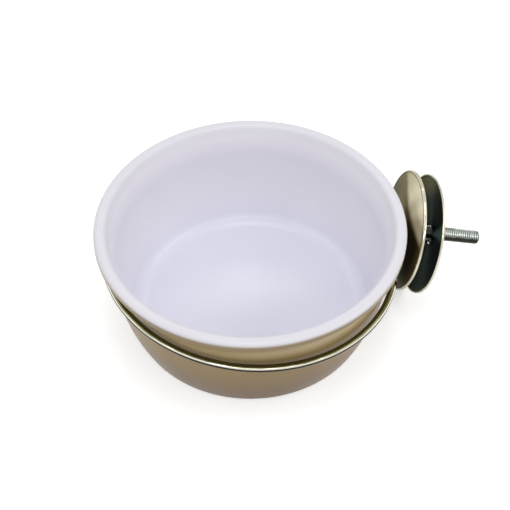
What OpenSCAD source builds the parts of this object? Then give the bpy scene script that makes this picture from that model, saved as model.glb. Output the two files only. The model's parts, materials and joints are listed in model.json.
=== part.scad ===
/* [Cup] */
// Outer diameter of the lip
lip_d = 148.8; // [120:0.2:180]
// Height of the cup
cup_h = 61.2; // [50:0.2:75]
// Height of the lip's edge
lip_h = 5; // [4.4:0.1:6]
// Rounding of the lip's upper edge
lip_round = 2.2; // [1.2:0.1:2.4]
// Rounding of the lip's lower edge
lip_under_round = 1.4; // [0.6:0.1:1.5]
// Rounding from the lip's top down into the cup
mouth_round = 2.4; // [1.6:0.1:3]
// Hollow rounding between the flare and the lip
neck_round = 1.5; // [1:0.1:2]
// Hollow radius to which the wall flares out above the waist
flare_round = 24; // [22:0.5:30]
// Drop from the top down to the waist, where the wall stands upright
waist_drop = 15.2; // [14.4:0.1:17]
// How far the lip stands out over the waist
lip_out = 6.5; // [6:0.1:8]
// How far the heel stands in under the waist
heel_in = 8.9; // [7:0.1:12]
// Rounding of the heel
heel_round = 3; // [2:0.1:5]
// Thickness of the wall
wall_t = 3.2; // [2.4:0.1:3.6]
// Thickness of the floor
floor_t = 4.8; // [4:0.1:6]
// Rounding between the wall and the floor inside
floor_round = 8; // [5:0.5:12]
// Width of the foot that the cup stands on
foot_w = 5; // [3:0.5:8]
// Height of the hollow under the floor
foot_h = 1.2; // [0.6:0.1:1.6]

/* [Wire ring] */
// Thickness of the ring's wire
wire_d = 3.6; // [3:0.1:4]
// Space all round between the ring and the cup
ring_gap = 0.7; // [0.5:0.1:2]
// Drop from the waist down to the middle of the ring
ring_drop = 6.4; // [5:0.1:8]
// Tilt of the ring, down toward the clamp, in degrees
ring_tilt = 4.5; // [2:0.5:6]

/* [Clamp discs] */
// Diameter of both discs
disc_d = 60.2; // [52:0.2:66]
// Thickness of the discs' sheet
disc_t = 0.7; // [0.5:0.1:0.8]
// Height of the flange round a disc's edge
disc_edge = 0.5; // [0.3:0.1:2]
// Depth from the flange to the middle of a disc
disc_dish = 4.6; // [3.6:0.1:5.2]
// Outer rounding of the fold at a disc's edge
disc_fold = 0.9; // [0.9:0.1:1.6]
// Diameter of the flat land in the middle of a disc
land_d = 16; // [13:0.5:20]
// Space between the discs' edges, where cage bars go
clamp_gap = 8.8; // [4:0.1:12]
// Level space between the lip's edge and the plane of the inner disc's land
lip_space = 6.7; // [5:0.1:9]
// Sideways place of the clamp from the middle of the cup
clamp_side = 15.7; // [0:0.1:18]
// Tilt of the clamp, down toward its free end, in degrees
clamp_tilt = 13.5; // [6:0.1:15]

// How far the loose outer disc hangs down on the stud
disc_hang = 1.3; // [0:0.1:1.8]

/* [Stud and nut] */
// Height of the stud's middle over the wire's middle, where it is welded on
stud_rise = 1.1; // [0:0.1:1.5]
// Diameter of the stud over its thread
stud_d = 7; // [5:0.5:8]
// Length of stud past the nut
stud_free = 19.5; // [14:0.1:24]
// Bevel on the stud's free end
stud_bevel = 0.7; // [0.3:0.1:1]
// Leg of the weld between the stud and the wire
weld_leg = 1.5; // [0.8:0.1:1.6]
// Width of the nut across its flats
nut_af = 11; // [9:0.5:13]
// Height of the nut
nut_h = 5.5; // [3:0.1:6]
// Gap between the stud and what moves along it
run_gap = 0.06; // [0.03:0.01:0.1]

/* [Hidden] */
$fn = 128;
arc_step = 2;
overrun = 1;

lip_r = lip_d / 2;
waist_r = lip_r - lip_out;
waist_h = cup_h - waist_drop;
heel_r = waist_r - heel_in;
wire_r = wire_d / 2;
disc_r = disc_d / 2;
land_r = land_d / 2;
stud_r = stud_d / 2;

// Points of an arc about c, from angle a0 to a1
function arc(c, r, a0, a1) =
    let (n = max(3, ceil(abs(a1 - a0) / arc_step)))
    [for (i = [0 : n]) let (a = a0 + (a1 - a0) * i / n) c + r * [cos(a), sin(a)]];

// Angle of the line from p to q
function heading(p, q) = atan2(q.y - p.y, q.x - p.x);

// Point on the level z that lies d away from c, on the side toward the cup's middle
function level_with(c, z, d) = [c.x - sqrt(d * d - pow(z - c.y, 2)), z];

// The outside wall bows from the rounded heel up to the waist and flares from there to the lip
lip_base = cup_h - lip_h;
heel_c = [heel_r - heel_round, heel_round];
bow_w = waist_r - heel_c.x;
bow_h = waist_h - heel_c.y;
wall_bow = (bow_w * bow_w + bow_h * bow_h - heel_round * heel_round) / (2 * (bow_w - heel_round));
wall_c = [waist_r - wall_bow, waist_h];
flare_c = [waist_r + flare_round, waist_h];
neck_c = level_with(flare_c, lip_base - neck_round, flare_round - neck_round);

// The inside wall follows it, one wall thickness in
inside_bow = wall_bow - wall_t;
inside_flare = flare_round + wall_t;
mouth_c = level_with(flare_c, cup_h - mouth_round, inside_flare - mouth_round);
mouth_a = heading(flare_c, mouth_c);
floor_z = floor_t + floor_round;
floor_reach = inside_bow - floor_round;
floor_c = [wall_c.x + sqrt(pow(floor_reach, 2) - pow(floor_z - wall_c.y, 2)), floor_z];
foot_in = heel_c.x - foot_w;

// The ring goes round the cup's waist, and the stud is welded to the outside of its wire
ring_r = waist_r + ring_gap + wire_r;
ring_z = waist_h - ring_drop;
weld_reach = sqrt(pow(ring_r, 2) - pow(clamp_side, 2));
weld_x = weld_reach * cos(ring_tilt);
weld_z = ring_z - weld_reach * sin(ring_tilt) + stud_rise;

// Level distance from the weld to the plane of the inner disc's land, at the height of the lip
lip_x = sqrt(pow(lip_r, 2) - pow(clamp_side, 2));
land_reach = lip_x + lip_space - weld_x;

// Places along the stud, measured from the middle of the wire that it is welded to
inner_hub = land_reach * cos(clamp_tilt) - (lip_base - weld_z) * sin(clamp_tilt);
inner_rim = inner_hub + disc_dish + disc_edge;
outer_rim = inner_rim + clamp_gap;
outer_hub = outer_rim + disc_edge + disc_dish;
nut_end = outer_hub + nut_h;
stud_end = nut_end + stud_free;

// A disc's outline: its cone leaves the land and meets the fold on a tangent
fold_c = [disc_r - disc_fold, disc_edge];
land_c = [land_r, disc_edge + disc_dish];
cone_a = -heading(land_c, fold_c) - asin(disc_fold / norm(fold_c - land_c));
nut_bore = stud_r + run_gap;
disc_bore = nut_bore + disc_hang;
nut_bevel_r = nut_af / 2;
nut_corner_r = nut_bevel_r / cos(30);

module cup_outline() {
    polygon(concat(
        [[0, foot_h], [foot_in - foot_h, foot_h], [foot_in, 0]],
        arc(heel_c, heel_round, -90, heading(wall_c, heel_c)),
        arc(wall_c, wall_bow, heading(wall_c, heel_c), 0),
        arc(flare_c, flare_round, 180, heading(flare_c, neck_c)),
        arc(neck_c, neck_round, heading(flare_c, neck_c), 90),
        arc([lip_r - lip_under_round, lip_base + lip_under_round], lip_under_round, -90, 0),
        arc([lip_r - lip_round, cup_h - lip_round], lip_round, 0, 90),
        arc(mouth_c, mouth_round, 90, mouth_a),
        arc(flare_c, inside_flare, mouth_a, 180),
        arc(wall_c, inside_bow, 0, heading(wall_c, floor_c)),
        arc(floor_c, floor_round, heading(wall_c, floor_c), -90),
        [[0, floor_t]]
    ));
}

// Outline of a dished disc, edge at 0 and the face of its land above it
module disc_outline(bore_r) {
    polygon(concat(
        [[bore_r, land_c.y], land_c],
        arc(fold_c, disc_fold, 90 - cone_a, 0),
        [[disc_r, 0], [disc_r - disc_t, 0]],
        arc(fold_c, disc_fold - disc_t, 0, 90 - cone_a),
        [land_c - disc_t * [tan(cone_a / 2), 1], [bore_r, land_c.y - disc_t]]
    ));
}

// Puts its children on the stud's axis, with +Z toward the free end
module on_stud() {
    translate([weld_x, clamp_side, weld_z])
        rotate([0, 90 + clamp_tilt, 0])
            children();
}

module ring_wire() {
    translate([0, 0, ring_z])
        rotate([0, ring_tilt, 0])
            rotate_extrude()
                translate([ring_r, 0])
                    circle(d = wire_d);
}

module stud_rod() {
    on_stud() {
        translate([0, 0, wire_r])
            cylinder(r = stud_r, h = stud_end - stud_bevel - wire_r);
        translate([0, 0, stud_end - stud_bevel])
            cylinder(r1 = stud_r, r2 = stud_r - stud_bevel, h = stud_bevel);
    }
}

module cup() {
    color("whitesmoke")
        rotate_extrude()
            cup_outline();
}

module wire_ring() {
    color("silver")
        ring_wire();
}

module ring_weld() {
    color("darkgray")
        difference() {
            on_stud()
                cylinder(r1 = stud_r + weld_leg, r2 = stud_r, h = wire_r + weld_leg);
            ring_wire();
            stud_rod();
        }
}

module stud() {
    color("lightgray")
        difference() {
            stud_rod();
            ring_wire();
        }
}

module inner_disc() {
    color("silver")
        on_stud()
            translate([0, 0, inner_rim])
                mirror([0, 0, 1])
                    rotate_extrude()
                        disc_outline(stud_r);
}

module outer_disc() {
    color("silver")
        on_stud()
            translate([disc_hang, 0, outer_rim])
                rotate_extrude()
                    disc_outline(disc_bore);
}

module clamp_nut() {
    color("gainsboro")
        on_stud()
            translate([0, 0, outer_hub])
                difference() {
                    intersection() {
                        cylinder(r = nut_corner_r, h = nut_h, $fn = 6);
                        cylinder(r1 = nut_bevel_r + nut_h, r2 = nut_bevel_r, h = nut_h);
                    }
                    translate([0, 0, -overrun])
                        cylinder(r = nut_bore, h = nut_h + 2 * overrun);
                }
}

cup();
wire_ring();
ring_weld();
stud();
inner_disc();
outer_disc();
clamp_nut();
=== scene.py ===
"""Looks of the seed cup: a glossy cup in a wire ring, with a disc clamp for cage bars."""
import json
import math

import bmesh
import bpy
from mathutils import Matrix, Vector


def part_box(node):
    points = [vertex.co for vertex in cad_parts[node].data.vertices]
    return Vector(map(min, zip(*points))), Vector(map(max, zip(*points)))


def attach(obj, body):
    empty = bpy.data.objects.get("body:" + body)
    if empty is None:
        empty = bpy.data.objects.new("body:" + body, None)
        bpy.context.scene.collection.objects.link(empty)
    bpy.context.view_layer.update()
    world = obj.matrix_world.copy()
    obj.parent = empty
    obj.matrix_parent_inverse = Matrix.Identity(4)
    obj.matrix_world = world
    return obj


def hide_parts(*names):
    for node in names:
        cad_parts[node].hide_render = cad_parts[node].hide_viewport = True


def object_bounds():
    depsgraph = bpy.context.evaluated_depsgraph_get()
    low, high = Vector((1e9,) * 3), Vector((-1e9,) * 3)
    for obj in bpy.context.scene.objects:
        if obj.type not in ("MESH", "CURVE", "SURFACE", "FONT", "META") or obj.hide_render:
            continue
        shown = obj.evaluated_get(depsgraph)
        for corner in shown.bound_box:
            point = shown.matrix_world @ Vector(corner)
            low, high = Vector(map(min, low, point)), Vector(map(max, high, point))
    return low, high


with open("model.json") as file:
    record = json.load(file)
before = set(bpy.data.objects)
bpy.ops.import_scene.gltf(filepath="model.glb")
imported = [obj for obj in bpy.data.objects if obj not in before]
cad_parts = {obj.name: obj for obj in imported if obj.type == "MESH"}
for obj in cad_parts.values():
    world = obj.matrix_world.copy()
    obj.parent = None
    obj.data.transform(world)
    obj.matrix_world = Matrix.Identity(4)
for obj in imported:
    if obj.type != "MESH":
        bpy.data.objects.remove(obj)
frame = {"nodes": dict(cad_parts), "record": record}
cad_low, cad_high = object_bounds()
nodes = frame["nodes"]
mounts = {mount["name"]: mount for mount in frame["record"]["mounts"]}
scene = bpy.context.scene
MM = 0.001
UP = (0, 0, 1)
# Black painted as shade in the discs' bores and on the nut's face that is pressed on the disc
PAINTED_SHADE_BLACK = (26, 28, 24)

# Camera of the photograph: where it stands, what it looks at, its roll and its lens
CAMERA_PLACE = Vector((-38.05, -443.86, 520.42)) * MM
CAMERA_AIM = Vector((2.22, -0.19, 39.08)) * MM
CAMERA_ROLL = math.radians(-0.09)
CAMERA_LENS = 95.3
CAMERA_SENSOR = 36.0
CAMERA_NEAREST, CAMERA_FARTHEST = 0.02, 60.0

# Each lamp's name, place, width and depth, and power; all of them face one point
LAMPS = (
    ("overhead", (0.0, 0.0, 1.2), (0.45, 0.45), 2.35),
    ("front", (0.1, -0.95, 0.8), (1.2, 0.14), 2.6),
    ("back", (0.0, 0.8, 1.0), (1.2, 0.14), 0.85),
    ("right", (0.85, -0.2, 0.75), (1.0, 0.16), 2.2),
    ("left", (-0.85, -0.1, 0.75), (1.0, 0.16), 1.5),
)
LAMP_AIM = Vector((0, 0, 0.03))
WORLD_STRENGTH = 0.55

# The floor runs out to the horizon, a hair under the cup's foot
FLOOR_SIZE = 12.0
FLOOR_DROP = 0.05 * MM
FLOOR_GLOW = 0.5

# The cup's outline: its wall is bowed under the waist and flared above it
CUP_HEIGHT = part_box("cup")[1].z
LIP_ROUND = 2.2 * MM
WALL = 3.2 * MM
WAIST_RADIUS = 67.9 * MM
WAIST_HEIGHT = 46 * MM
FLARE_RADIUS = 24 * MM
BOW_RADIUS = 111.3 * MM
FLOOR_MIDDLE = 3 * MM

# Levels between which the cup's looks change, inside and then outside
FLOOR_TO_WALL = (5 * MM, 24 * MM)
WALL_TO_LIP = (CUP_HEIGHT - 6 * MM, CUP_HEIGHT - 2 * MM)
HEEL_TO_WAIST = (2 * MM, 40 * MM)
WAIST_TO_FLARE = (40 * MM, 46 * MM)
FLARE_TO_NECK = (46 * MM, 51 * MM)
TAN_TO_WHITE = (CUP_HEIGHT - LIP_ROUND * 1.15, CUP_HEIGHT - LIP_ROUND * 0.3)
RUBBED_TO_POLISHED = (WAIST_HEIGHT - 3 * MM, WAIST_HEIGHT + 3 * MM)

# The clamp's axis runs from the ring's wire to the middle of the stud's free end
CLAMP_AXIS = Vector(mounts["stud_end"]["axis"]).normalized()
STUD_TIP = Vector(mounts["stud_end"]["pos_m"])

# The loose outer disc hangs down on the stud, off the clamp's axis
grip_to_grip = Vector(mounts["outer_grip"]["pos_m"]) - Vector(mounts["inner_grip"]["pos_m"])
DISC_HANG = grip_to_grip - CLAMP_AXIS * grip_to_grip.dot(CLAMP_AXIS)

# Thread of the stud: radii of its crest and root, its pitch, its flats along the axis, how many
# steps a turn has, and the turns that are screwed to be cut off again
THREAD_CREST = 3.485 * MM
THREAD_ROOT = 2.92 * MM
THREAD_PITCH = 1 * MM
CREST_FLAT = THREAD_PITCH / 8
ROOT_FLAT = THREAD_PITCH / 4
THREAD_STEPS = 56
SPARE_TURNS = 3
STUD_BEVEL = 0.7 * MM

# Nut: width across its flats, half the angle that one of them takes up, radius of its bore and
# flare of the bore's mouths, radius of the flat on its free face, slope of the chamfer round
# that and how far the chamfering rod stands over the corners, and the easing of all its edges
NUT_FLATS = 11 * MM
NUT_HALF_FLAT = math.radians(30)
NUT_BORE = 3.56 * MM
NUT_MOUTH = 0.35 * MM
NUT_FACE = 5.2 * MM
NUT_CHAMFER = math.radians(30)
NUT_SPARE = 0.3 * MM
NUT_EASING = 0.12 * MM
NUT_SHARP = math.radians(25)

# Weld bead: radius to its middle, half its thickness, its unevenness and how far it sits back
WELD_RING = 3.5 * MM
WELD_THICK = 1.25 * MM
WELD_UNEVEN = 0.22 * MM
WELD_BACK = 0.1 * MM

# Distances from a disc's axis: its bore's rim, where its painted shade fades, and the crease
# along its rim, painted dark as shade, with the painted highlight of the fold outside it
BORE_RIM = (5.1 * MM, 5.4 * MM)
PAINTED_SHADE_FADE = (24 * MM, 30 * MM)
CREASE = 29.2 * MM
CREASE_STARTS = (CREASE - 0.5 * MM, CREASE)
CREASE_ENDS = (CREASE, CREASE + 0.3 * MM)
FOLD_STARTS = (CREASE + 0.2 * MM, CREASE + 0.5 * MM)

# Ways across the clamp's axis in which a disc carries its painted highlight, painted shade,
# painted glint or painted olive reflection, and where each comes in: as a height over the disc's
# middle, or by direction, from -1 to 1 straight in it
PAINTED_HIGHLIGHT_WAY = (0.231, -0.113, 0.966)
PAINTED_HIGHLIGHT_UNEVEN = 4 * MM
PAINTED_SHADE_WAY = (0, -1, 0)
PAINTED_SHADE_FROM = (0.1, 0.85)
BRIGHTER_FROM = (-0.8, 0.4)
GAP_PAINTED_GLINT_WAY = (0.17, -0.69, 0.70)
GAP_PAINTED_GLINT_FROM = (0.975, 1.0)
GAP_OLIVE_WAY = (0, 0.73, 0.68)
GAP_OLIVE_FROM = (20 * MM, 29 * MM)

# How close two vertices are merged, and how close to a cut or a level a vertex is on it
MERGE_WITHIN = 0.002 * MM
CUT_WITHIN = 0.0001 * MM
LEVEL_WITHIN = 0.001 * MM

# Sides of the round rods that the stud and the nut are cut by
ROD_SIDES = 96


def clamp_span(node):
    """Where a node starts and ends along the clamp's axis, measured from the stud's tip."""
    places = [(v.co - STUD_TIP).dot(CLAMP_AXIS) for v in nodes[node].data.vertices]
    return min(places), max(places)


def only(piece):
    """Selects one piece alone and makes it the active one."""
    bpy.ops.object.select_all(action="DESELECT")
    piece.select_set(True)
    bpy.context.view_layer.objects.active = piece


def start(kind, **settings):
    """Adds one primitive, alone selected, and opens it for editing."""
    bpy.ops.object.select_all(action="DESELECT")
    getattr(bpy.ops.mesh, f"primitive_{kind}_add")(**settings)
    piece = bpy.context.object
    bpy.ops.object.transform_apply(location=True, rotation=True, scale=True)
    bpy.ops.object.mode_set(mode="EDIT")
    return piece


def pick(test):
    """Selects the vertices of the open piece whose places pass a test."""
    bpy.ops.mesh.select_mode(type="VERT")
    bpy.ops.mesh.select_all(action="DESELECT")
    mesh = bmesh.from_edit_mesh(bpy.context.edit_object.data)
    for vertex in mesh.verts:
        vertex.select = test(vertex.co)
    mesh.select_flush(True)
    bmesh.update_edit_mesh(bpy.context.edit_object.data)


def cut(height, keep=0):
    """Cuts the open piece across at a height. It keeps what is above (1), below (-1) or both."""
    bpy.ops.mesh.select_all(action="SELECT")
    bpy.ops.mesh.bisect(plane_co=(0, 0, height), plane_no=UP, use_fill=keep != 0,
                        clear_inner=keep > 0, clear_outer=keep < 0, threshold=CUT_WITHIN)


def narrow(height, share):
    """Draws the ring of vertices at a height in toward the axis."""
    pick(lambda place: abs(place.z - height) < LEVEL_WITHIN)
    bpy.ops.transform.resize(value=(share, share, 1), center_override=(0, 0, height))


def merge():
    """Makes one of vertices that meet, all over the open piece."""
    bpy.ops.mesh.select_all(action="SELECT")
    bpy.ops.mesh.remove_doubles(threshold=MERGE_WITHIN)


def close_piece():
    """Merges what meets in the open piece, turns its faces outward and leaves edit mode."""
    merge()
    bpy.ops.mesh.normals_make_consistent(inside=False)
    bpy.ops.object.mode_set(mode="OBJECT")


def use(piece, kind, **settings):
    """Puts one modifier on a piece and applies it."""
    only(piece)
    modifier = piece.modifiers.new(kind.lower(), kind)
    for setting, value in settings.items():
        setattr(modifier, setting, value)
    bpy.ops.object.modifier_apply(modifier=modifier.name)


def carve(piece, tool, operation):
    """Cuts a piece by another shape, and takes that shape away."""
    use(piece, "BOOLEAN", operation=operation, object=tool, solver="EXACT")
    bpy.data.objects.remove(tool, do_unlink=True)


def turned_rod(radius, low, high, bevel, bevel_height, both_ends=False):
    """A round rod whose upper end, or both, is drawn in, or flared by a bevel under 0."""
    rod = start("cylinder", vertices=ROD_SIDES, radius=radius, depth=high - low,
                location=(0, 0, (low + high) / 2))
    share = (radius - bevel) / radius
    if both_ends:
        cut(low + bevel_height)
        narrow(low, share)
    cut(high - bevel_height)
    narrow(high, share)
    close_piece()
    return rod


def dress(piece, material):
    """Gives a piece one material in place of all that it has."""
    piece.data.materials.clear()
    piece.data.materials.append(material)


def settle(piece, name, node, body, material, along, smooth):
    """Names a piece, sets it on the clamp's axis and puts it in its node's stead.

    along is its place from the stud's tip, and smooth the angle in degrees up to which
    its faces are shaded as one.
    """
    only(piece)
    piece.name = piece.data.name = name
    turn = Vector(UP).rotation_difference(CLAMP_AXIS).to_matrix().to_4x4()
    piece.matrix_world = Matrix.Translation(STUD_TIP + CLAMP_AXIS * along) @ turn
    bpy.ops.object.transform_apply(location=True, rotation=True, scale=True)
    bpy.ops.object.shade_smooth_by_angle(angle=math.radians(smooth))
    dress(piece, material)
    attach(piece, body)
    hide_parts(node)


def threaded_stud(material):
    """One pitch of thread profile, screwed round the axis and cut to the stud's length."""
    low, high = clamp_span("stud")
    length = high - low
    stud = start("plane", size=THREAD_PITCH, location=(THREAD_CREST - THREAD_PITCH / 2, 0, 0),
                 rotation=(math.pi / 2, 0, 0))
    bpy.ops.mesh.delete(type="ONLY_FACE")

    # The plane's inner side is opened and moved out to the root, and its outer one is the crest
    inner = THREAD_CREST - THREAD_PITCH
    pick(lambda place: place.x < inner + CREST_FLAT)
    bpy.ops.mesh.delete(type="EDGE")
    pick(lambda place: place.x < inner + CREST_FLAT)
    bpy.ops.transform.translate(value=(THREAD_ROOT - inner, 0, 0))
    bpy.ops.transform.resize(value=(1, 1, 1 - ROOT_FLAT / THREAD_PITCH),
                             center_override=(0, 0, 0))
    pick(lambda place: place.x > THREAD_CREST - CREST_FLAT)
    bpy.ops.transform.resize(value=(1, 1, CREST_FLAT / THREAD_PITCH), center_override=(0, 0, 0))
    pick(lambda place: place.x < THREAD_CREST - CREST_FLAT and place.z < 0)
    bpy.ops.mesh.extrude_vertices_move(TRANSFORM_OT_translate={"value": (0, 0, -ROOT_FLAT)})
    bpy.ops.object.mode_set(mode="OBJECT")
    turns = math.ceil(length / THREAD_PITCH) + SPARE_TURNS
    use(stud, "SCREW", axis="Z", angle=2 * math.pi, screw_offset=THREAD_PITCH, iterations=turns,
        steps=THREAD_STEPS, render_steps=THREAD_STEPS, use_merge_vertices=False)

    # The first turn is uneven at its start, so the length is taken from one pitch up
    bpy.ops.object.mode_set(mode="EDIT")
    merge()
    cut(THREAD_PITCH, keep=1)
    cut(THREAD_PITCH + length, keep=-1)
    bpy.ops.mesh.select_all(action="SELECT")
    bpy.ops.transform.translate(value=(0, 0, -THREAD_PITCH - length))
    close_piece()
    bevel = STUD_BEVEL + CREST_FLAT
    blank = turned_rod(THREAD_CREST + CREST_FLAT, -length - THREAD_PITCH, 0, bevel, bevel)
    carve(stud, blank, "INTERSECT")
    settle(stud, "threaded_stud", "stud", "holder", material, along=0, smooth=35)


def hexagon_nut(material):
    """A hexagon chamfered round its free face, and a bore with flared mouths."""
    low, high = clamp_span("clamp_nut")
    height = high - low
    corner = NUT_FLATS / 2 / math.cos(NUT_HALF_FLAT)
    nut = start("cylinder", vertices=6, radius=corner, depth=height,
                location=(0, 0, height / 2), rotation=(0, 0, NUT_HALF_FLAT))
    close_piece()
    over = corner + NUT_SPARE
    drop = (over - NUT_FACE) * math.tan(NUT_CHAMFER)
    carve(nut, turned_rod(over, 0, height, over - NUT_FACE, drop), "INTERSECT")
    bore = turned_rod(NUT_BORE, -NUT_MOUTH, height + NUT_MOUTH, -2 * NUT_MOUTH, 2 * NUT_MOUTH,
                      both_ends=True)
    carve(nut, bore, "DIFFERENCE")
    use(nut, "BEVEL", width=NUT_EASING, segments=2, limit_method="ANGLE", angle_limit=NUT_SHARP)
    settle(nut, "hexagon_nut", "clamp_nut", "clamp_nut", material, along=low,
           smooth=30)


def weld_bead(material):
    """A ring of weld metal round the stud's root, uneven as a bead runs."""
    low = clamp_span("stud")[0]
    bead = start("torus", major_segments=36, minor_segments=12, major_radius=WELD_RING,
                 minor_radius=WELD_THICK)
    bpy.ops.mesh.select_all(action="SELECT")
    bpy.ops.transform.vertex_random(offset=WELD_UNEVEN, uniform=0.6, normal=0.4, seed=5)
    close_piece()
    use(bead, "SUBSURF", levels=2, render_levels=2)
    settle(bead, "weld_bead", "ring_weld", "holder", material,
           along=low - WELD_BACK, smooth=80)


def srgb(red, green, blue):
    """A colour written as a screen shows it, 0 to 255, in the renderer's own linear values."""
    def linear(value):
        value /= 255
        return value / 12.92 if value <= 0.04045 else ((value + 0.055) / 1.055) ** 2.4
    return (linear(red), linear(green), linear(blue), 1.0)


class Pattern:
    """A node tree, with short calls for the nodes that a pattern is made of."""

    def __init__(self, tree):
        self.tree = tree

    def add(self, kind, **settings):
        """Adds one node with its settings."""
        node = self.tree.nodes.new("ShaderNode" + kind)
        for setting, value in settings.items():
            setattr(node, setting, value)
        return node

    def feed(self, node, values):
        """Links or sets inputs of a node, by their numbers or names."""
        for key, value in values.items():
            if isinstance(value, bpy.types.NodeSocket):
                self.tree.links.new(value, node.inputs[key])
            else:
                node.inputs[key].default_value = value

    def math(self, operation, *values):
        """Reckons with single values."""
        node = self.add("Math", operation=operation)
        self.feed(node, dict(enumerate(values)))
        return node.outputs[0]

    def vector(self, operation, *values):
        """Reckons with vectors."""
        node = self.add("VectorMath", operation=operation)
        self.feed(node, dict(enumerate(values)))
        return node.outputs["Value" if operation in ("DOT_PRODUCT", "LENGTH") else "Vector"]

    def place(self):
        """Where a point is on the object."""
        return self.add("TexCoord").outputs["Object"]

    def facing(self, way):
        """How far a face looks a way: 1 straight toward it, 0 across it and -1 away."""
        return self.vector("DOT_PRODUCT", self.add("TexCoord").outputs["Normal"], way)

    def step(self, value, low, high):
        """0 below low, 1 above high and smooth between them."""
        node = self.add("MapRange", interpolation_type="SMOOTHSTEP")
        self.feed(node, {"Value": value, "From Min": low, "From Max": high})
        return node.outputs[0]

    def between(self, value, low, high):
        """Sends 0 to low and 1 to high."""
        node = self.add("MapRange")
        self.feed(node, {"Value": value, "To Min": low, "To Max": high})
        return node.outputs[0]

    def stirred(self, value, cloud, reach):
        """A value moved up and down by a cloud, over a reach in all."""
        return self.math("ADD", value, self.math("MULTIPLY", self.math("SUBTRACT", cloud, 0.5),
                                                 reach))

    def mix(self, share, first, second):
        """The first colour at share 0, and the second at share 1."""
        node = self.add("Mix", data_type="RGBA")
        self.feed(node, {0: share, 6: first, 7: second})
        return node.outputs[2]

    def shades(self, share, first, second):
        """A mix of two colours written as a screen shows them."""
        return self.mix(share, srgb(*first), srgb(*second))

    def noise(self, place, scale, detail):
        """Cloudy noise between 0 and 1."""
        node = self.add("TexNoise")
        self.feed(node, {"Vector": place, "Scale": scale, "Detail": detail})
        return node.outputs["Fac"]

    def bump(self, height, strength, distance):
        """A surface normal tilted by small heights."""
        node = self.add("Bump")
        self.feed(node, {"Height": height, "Strength": strength, "Distance": distance})
        return node.outputs[0]

    def seen(self):
        """1 to the camera and in reflections, and 0 for the light thrown on other things."""
        ray = self.add("LightPath").outputs
        seen = self.math("MAXIMUM", ray["Is Camera Ray"], ray["Is Glossy Ray"])
        return self.math("MAXIMUM", seen, ray["Is Transmission Ray"])


class Shading(Pattern):
    """One material's node tree."""

    def __init__(self, name):
        self.material = bpy.data.materials.new(name)
        self.material.use_nodes = True
        super().__init__(self.material.node_tree)

    def finish(self, **sockets):
        """Feeds the shader's sockets, named with _ for a space, and gives the material."""
        shader = self.tree.nodes["Principled BSDF"]
        self.feed(shader, {name.replace("_", " "): value for name, value in sockets.items()})
        return self.material


def cup_plastic():
    """Glossy plastic, white inside and over the lip, and tan outside."""
    made = Shading("glossy_cup_plastic")
    place = made.place()
    z = made.vector("DOT_PRODUCT", place, UP)
    radius = made.vector("LENGTH", made.vector("MULTIPLY", place, (1, 1, 0)))

    # The middle of the wall parts the outside from the inside
    rise = made.math("SUBTRACT", z, WAIST_HEIGHT)
    rise_2 = made.math("MULTIPLY", rise, rise)
    bow = made.math("SQRT", made.math("SUBTRACT", (BOW_RADIUS - WALL / 2) ** 2, rise_2))
    bow = made.math("ADD", bow, WAIST_RADIUS - BOW_RADIUS)
    flare = made.math("SQRT", made.math("SUBTRACT", (FLARE_RADIUS + WALL / 2) ** 2, rise_2))
    flare = made.math("SUBTRACT", WAIST_RADIUS + FLARE_RADIUS, flare)
    middle = made.between(made.math("GREATER_THAN", rise, 0.0), bow, flare)
    outside = made.math("MAXIMUM", made.math("GREATER_THAN", radius, middle),
                        made.math("LESS_THAN", z, FLOOR_MIDDLE))
    tan = made.math("MULTIPLY", outside,
                    made.math("SUBTRACT", 1.0, made.step(z, *TAN_TO_WHITE)))

    cloud = made.noise(place, scale=22.0, detail=1.0)
    # The white is painted in tones of light: bluer on the floor, as under sky light, and darker
    # on the lip than on the wall
    wall = made.shades(cloud, (234, 232, 238), (228, 225, 233))
    floor = made.shades(cloud, (229, 229, 241), (224, 224, 237))
    lip = made.shades(cloud, (227, 225, 231), (221, 218, 226))
    white = made.mix(made.step(z, *FLOOR_TO_WALL), floor, wall)
    white = made.mix(made.step(z, *WALL_TO_LIP), white, lip)

    tan_cloud = made.noise(place, scale=35.0, detail=3.0)
    # Tan outside, with painted shade darkening it toward the foot, a painted lighter band on the
    # flare over the ring's wire and painted shade again under the lip
    heel_shade_brown = made.shades(tan_cloud, (112, 82, 36), (97, 70, 30))
    waist_brown = made.shades(tan_cloud, (160, 136, 92), (144, 121, 80))
    flare_lit_brown = made.shades(tan_cloud, (192, 173, 133), (174, 154, 114))
    neck_shade_brown = made.shades(tan_cloud, (150, 132, 95), (136, 117, 82))
    brown = made.mix(made.step(z, *HEEL_TO_WAIST), heel_shade_brown, waist_brown)
    brown = made.mix(made.step(z, *WAIST_TO_FLARE), brown, flare_lit_brown)
    brown = made.mix(made.step(z, *FLARE_TO_NECK), brown, neck_shade_brown)

    polish = made.noise(place, scale=30.0, detail=1.0)
    rubbed = made.between(made.step(z, *RUBBED_TO_POLISHED), made.between(polish, 0.3, 0.36),
                          made.between(polish, 0.14, 0.2))
    rough = made.between(tan, made.between(polish, 0.19, 0.26), rubbed)
    skin = made.noise(place, scale=120.0, detail=1.0)
    return made.finish(Base_Color=made.mix(tan, white, brown), Roughness=rough,
                       Normal=made.bump(skin, strength=0.12, distance=0.2 * MM), IOR=1.5,
                       Specular_IOR_Level=0.32)


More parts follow.
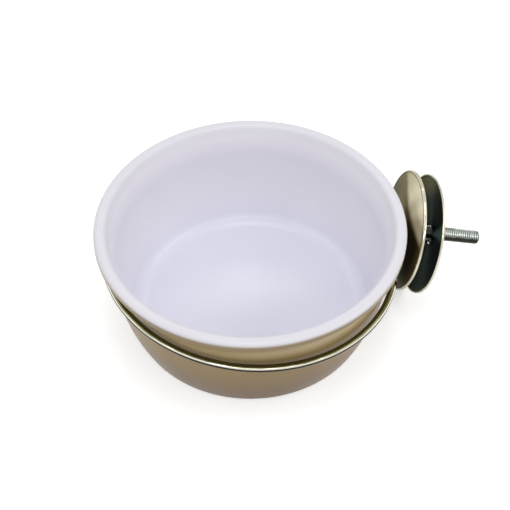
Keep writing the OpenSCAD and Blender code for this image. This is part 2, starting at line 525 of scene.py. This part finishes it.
def polished_wire():
    """Polished wire with painted reflections: a painted highlight band, painted dark olive on its
    top and painted dark brown below.
    """
    made = Shading("polished_steel_wire")
    place = made.place()
    wire_mottle = made.noise(place, scale=90.0, detail=4.0)
    # Painted reflections, by how far a face looks up: dark brown below, a white highlight band,
    # and dark olive on top
    wire_painted_highlight = made.shades(wire_mottle, (252, 251, 244), (206, 203, 182))
    top_painted_reflection = made.shades(wire_mottle, (118, 114, 78), (82, 79, 46))
    painted_dim = made.shades(wire_mottle, (52, 46, 28), (30, 26, 14))
    reach = made.stirred(made.facing(UP), wire_mottle, 0.2)
    colour = made.mix(made.step(reach, 0.32, 0.5), painted_dim, wire_painted_highlight)
    colour = made.mix(made.step(reach, 0.66, 0.8), colour, top_painted_reflection)
    rough = made.between(made.noise(place, scale=240.0, detail=3.0), 0.05, 0.11)
    drawn = made.noise(place, scale=900.0, detail=2.0)
    return made.finish(Base_Color=colour, Metallic=1.0, Roughness=rough,
                       Normal=made.bump(drawn, strength=0.1, distance=0.15 * MM))


def spun_steel(name, middle, gap_side, sweep, painted_shade_depth, metal):
    """Spun sheet: polished outside with a painted highlight and painted shade, painted shade on
    the side toward the bars, and a painted highlight on its rim.

    gap_side is 1 where the side toward the bars faces the stud's free end, and -1 where it faces
    the ring. sweep gives the heights over the disc's middle, in PAINTED_HIGHLIGHT_WAY, between
    which the painted dim tone turns into the painted highlight. painted_shade_depth is how dark
    the painted shade makes the dim tone, and metal the share of the light that it throws back as
    metal does.
    """
    made = Shading(name)
    place = made.place()
    offset = made.vector("SUBTRACT", place, middle)
    along = made.vector("DOT_PRODUCT", offset, CLAMP_AXIS)
    spoke = made.vector("SUBTRACT", offset, made.vector("PROJECT", offset, CLAMP_AXIS))
    outward = made.vector("NORMALIZE", spoke)
    radius = made.vector("LENGTH", spoke)
    rings = made.add("CombineXYZ")
    made.feed(rings, {0: radius, 1: made.math("MULTIPLY", along, 0.3)})
    groove = made.noise(rings.outputs[0], scale=2200.0, detail=2.0)
    band = made.noise(rings.outputs[0], scale=350.0, detail=2.0)
    cloud = made.noise(place, scale=80.0, detail=3.0)
    streak = made.math("MULTIPLY", band, cloud)

    # The side away from the bars: a painted highlight past a chord, and before it a painted dim
    # reflection tone, darkened by painted shade in one way
    front = made.vector("DOT_PRODUCT", outward, PAINTED_SHADE_WAY)
    near = made.shades(streak, (255, 248, 222), (232, 220, 186))
    far = made.shades(streak, (192, 182, 146), (150, 138, 100))
    disc_painted_highlight = made.mix(made.step(front, *BRIGHTER_FROM), far, near)
    # Painted shade, in one way only, fading out toward the rim
    painted_shade_share = made.between(made.step(radius, *PAINTED_SHADE_FADE), painted_shade_depth, painted_shade_depth * 0.15)
    painted_shade_share = made.math("MULTIPLY", painted_shade_share, made.step(front, *PAINTED_SHADE_FROM))
    painted_dim = made.mix(painted_shade_share, made.shades(streak, (122, 108, 70), (78, 68, 42)), srgb(34, 32, 22))
    height = made.stirred(made.vector("DOT_PRODUCT", offset, PAINTED_HIGHLIGHT_WAY), cloud,
                          PAINTED_HIGHLIGHT_UNEVEN)
    polished = made.mix(made.step(height, *sweep), painted_dim, disc_painted_highlight)

    # The side toward the bars: painted shade, with a painted glint in one way and a painted olive
    # reflection toward two ends
    dark = made.shades(streak, (26, 35, 32), (14, 22, 20))
    glow = made.step(made.vector("DOT_PRODUCT", outward, GAP_PAINTED_GLINT_WAY), *GAP_PAINTED_GLINT_FROM)
    dark = made.mix(glow, dark, srgb(130, 160, 148))
    height = made.vector("DOT_PRODUCT", offset, GAP_OLIVE_WAY)
    olive = made.step(made.math("ABSOLUTE", height), *GAP_OLIVE_FROM)
    dark = made.mix(olive, dark, srgb(84, 80, 54))

    # Both sides: the bore painted black as shade, the crease painted dark as shade, and a painted
    # highlight on the fold outside it
    inside = made.step(made.facing(CLAMP_AXIS * gap_side), 0.2, 0.6)
    colour = made.mix(inside, polished, dark)
    colour = made.mix(made.step(radius, *BORE_RIM), srgb(*PAINTED_SHADE_BLACK), colour)
    crease_painted_shade = made.math("MULTIPLY", made.step(radius, *CREASE_STARTS),
                       made.math("SUBTRACT", 1.0, made.step(radius, *CREASE_ENDS)))
    colour = made.mix(crease_painted_shade, colour, srgb(58, 54, 38))
    fold_painted_highlight = made.step(radius, *FOLD_STARTS)
    colour = made.mix(fold_painted_highlight, colour, made.shades(cloud, (228, 225, 208), (176, 171, 146)))
    rough = made.between(fold_painted_highlight, made.between(groove, 0.36, 0.46), 0.16)
    return made.finish(Base_Color=colour, Metallic=metal, Roughness=rough,
                       Normal=made.bump(groove, strength=0.15, distance=0.1 * MM),
                       Anisotropic=0.95, Tangent=outward,
                       Specular_Tint=(0.55, 0.57, 0.55, 1.0))


def plated_steel(name, light, dark, rough, metal=1.0, shaded_face_way=None):
    """Zinc-plated steel, darker in patches, with a painted highlight on top and painted shade
    underneath.

    light and dark are its two colours, the painted highlight and the painted shade, which also
    darkens the patches, rough the range of its roughness, metal the share of the light that it
    throws back as metal does, and shaded_face_way the way that a face looks, which something is
    pressed on and which is painted black as shade.
    """
    made = Shading(name)
    place = made.place()
    cloud = made.noise(place, scale=160.0, detail=4.0)
    # Painted light and shade: lighter where a face looks up, darker where it looks down
    reach = made.stirred(made.facing(UP), cloud, 0.9)
    painted_light_and_shade = made.shades(made.step(reach, 0.2, 0.6), dark, light)
    colour = made.mix(made.step(cloud, 0.45, 0.8), painted_light_and_shade, srgb(*dark))
    # A face that looks that way is painted black as shade
    if shaded_face_way:
        colour = made.mix(made.step(made.facing(shaded_face_way), 0.6, 0.8), colour, srgb(*PAINTED_SHADE_BLACK))
    grain = made.noise(place, scale=1600.0, detail=2.0)
    return made.finish(Base_Color=colour, Metallic=metal,
                       Roughness=made.between(made.noise(place, scale=420.0, detail=3.0), *rough),
                       Normal=made.bump(grain, strength=0.2, distance=0.1 * MM))


def floor_and_backdrop():
    """One pale floor out to the horizon, white to the camera and in reflections."""
    bpy.ops.mesh.primitive_plane_add(size=FLOOR_SIZE, location=(0, 0, cad_low.z - FLOOR_DROP))
    floor = bpy.context.object
    floor.name = "floor"
    made = Shading("pale_floor")
    glow = made.math("MULTIPLY", made.seen(), FLOOR_GLOW)
    dress(floor, made.finish(Base_Color=(0.8, 0.8, 0.8, 1.0), Roughness=0.9,
                             Specular_IOR_Level=0.1, Emission_Color=(1, 1, 1, 1),
                             Emission_Strength=glow))


def world_light():
    """Even light from all round, white to the camera and in reflections."""
    scene.world = bpy.data.worlds.new("studio")
    scene.world.use_nodes = True
    made = Pattern(scene.world.node_tree)
    made.feed(made.tree.nodes["Background"],
              {"Color": (1, 1, 1, 1), "Strength": made.between(made.seen(), WORLD_STRENGTH, 1.0)})


def soft_lamp(name, place, size, power):
    """A white lamp with a soft oblong face."""
    data = bpy.data.lights.new(name, "AREA")
    data.shape = "RECTANGLE"
    data.size, data.size_y = size
    data.energy = power
    lamp = bpy.data.objects.new(name, data)
    scene.collection.objects.link(lamp)
    lamp.location = place
    lamp.rotation_euler = (LAMP_AIM - Vector(place)).to_track_quat("-Z", "Y").to_euler()


def camera():
    """The photograph's camera."""
    data = bpy.data.cameras.new("camera")
    data.sensor_width = CAMERA_SENSOR
    data.lens = CAMERA_LENS
    data.clip_start, data.clip_end = CAMERA_NEAREST, CAMERA_FARTHEST
    eye = bpy.data.objects.new("camera", data)
    scene.collection.objects.link(eye)
    look = (CAMERA_AIM - CAMERA_PLACE).to_track_quat("-Z", "Y").to_matrix()
    roll = Matrix.Rotation(CAMERA_ROLL, 3, "Z")
    eye.matrix_world = Matrix.Translation(CAMERA_PLACE) @ (look @ roll).to_4x4()
    scene.camera = eye


dress(nodes["cup"], cup_plastic())
dress(nodes["wire_ring"], polished_wire())
dress(nodes["inner_disc"],
      spun_steel("spun_steel_fixed_disc", STUD_TIP, gap_side=1, sweep=(15 * MM, 19 * MM),
                 painted_shade_depth=0.9, metal=0.8))
dress(nodes["outer_disc"],
      spun_steel("spun_steel_loose_disc", STUD_TIP + DISC_HANG, gap_side=-1,
                 sweep=(-30 * MM, 20 * MM), painted_shade_depth=0.0, metal=1.0))
threaded_stud(plated_steel("zinc_plated_stud", (222, 229, 225), (60, 62, 50), (0.08, 0.24),
                           metal=0.8))
hexagon_nut(plated_steel("zinc_plated_nut", (190, 194, 190), (104, 106, 94), (0.28, 0.38),
                         shaded_face_way=-CLAMP_AXIS))
weld_bead(plated_steel("weld_bead", (150, 142, 126), (84, 78, 70), (0.35, 0.55)))

floor_and_backdrop()
world_light()
for lamp in LAMPS:
    soft_lamp(*lamp)
camera()
scene.view_settings.view_transform = "Standard"
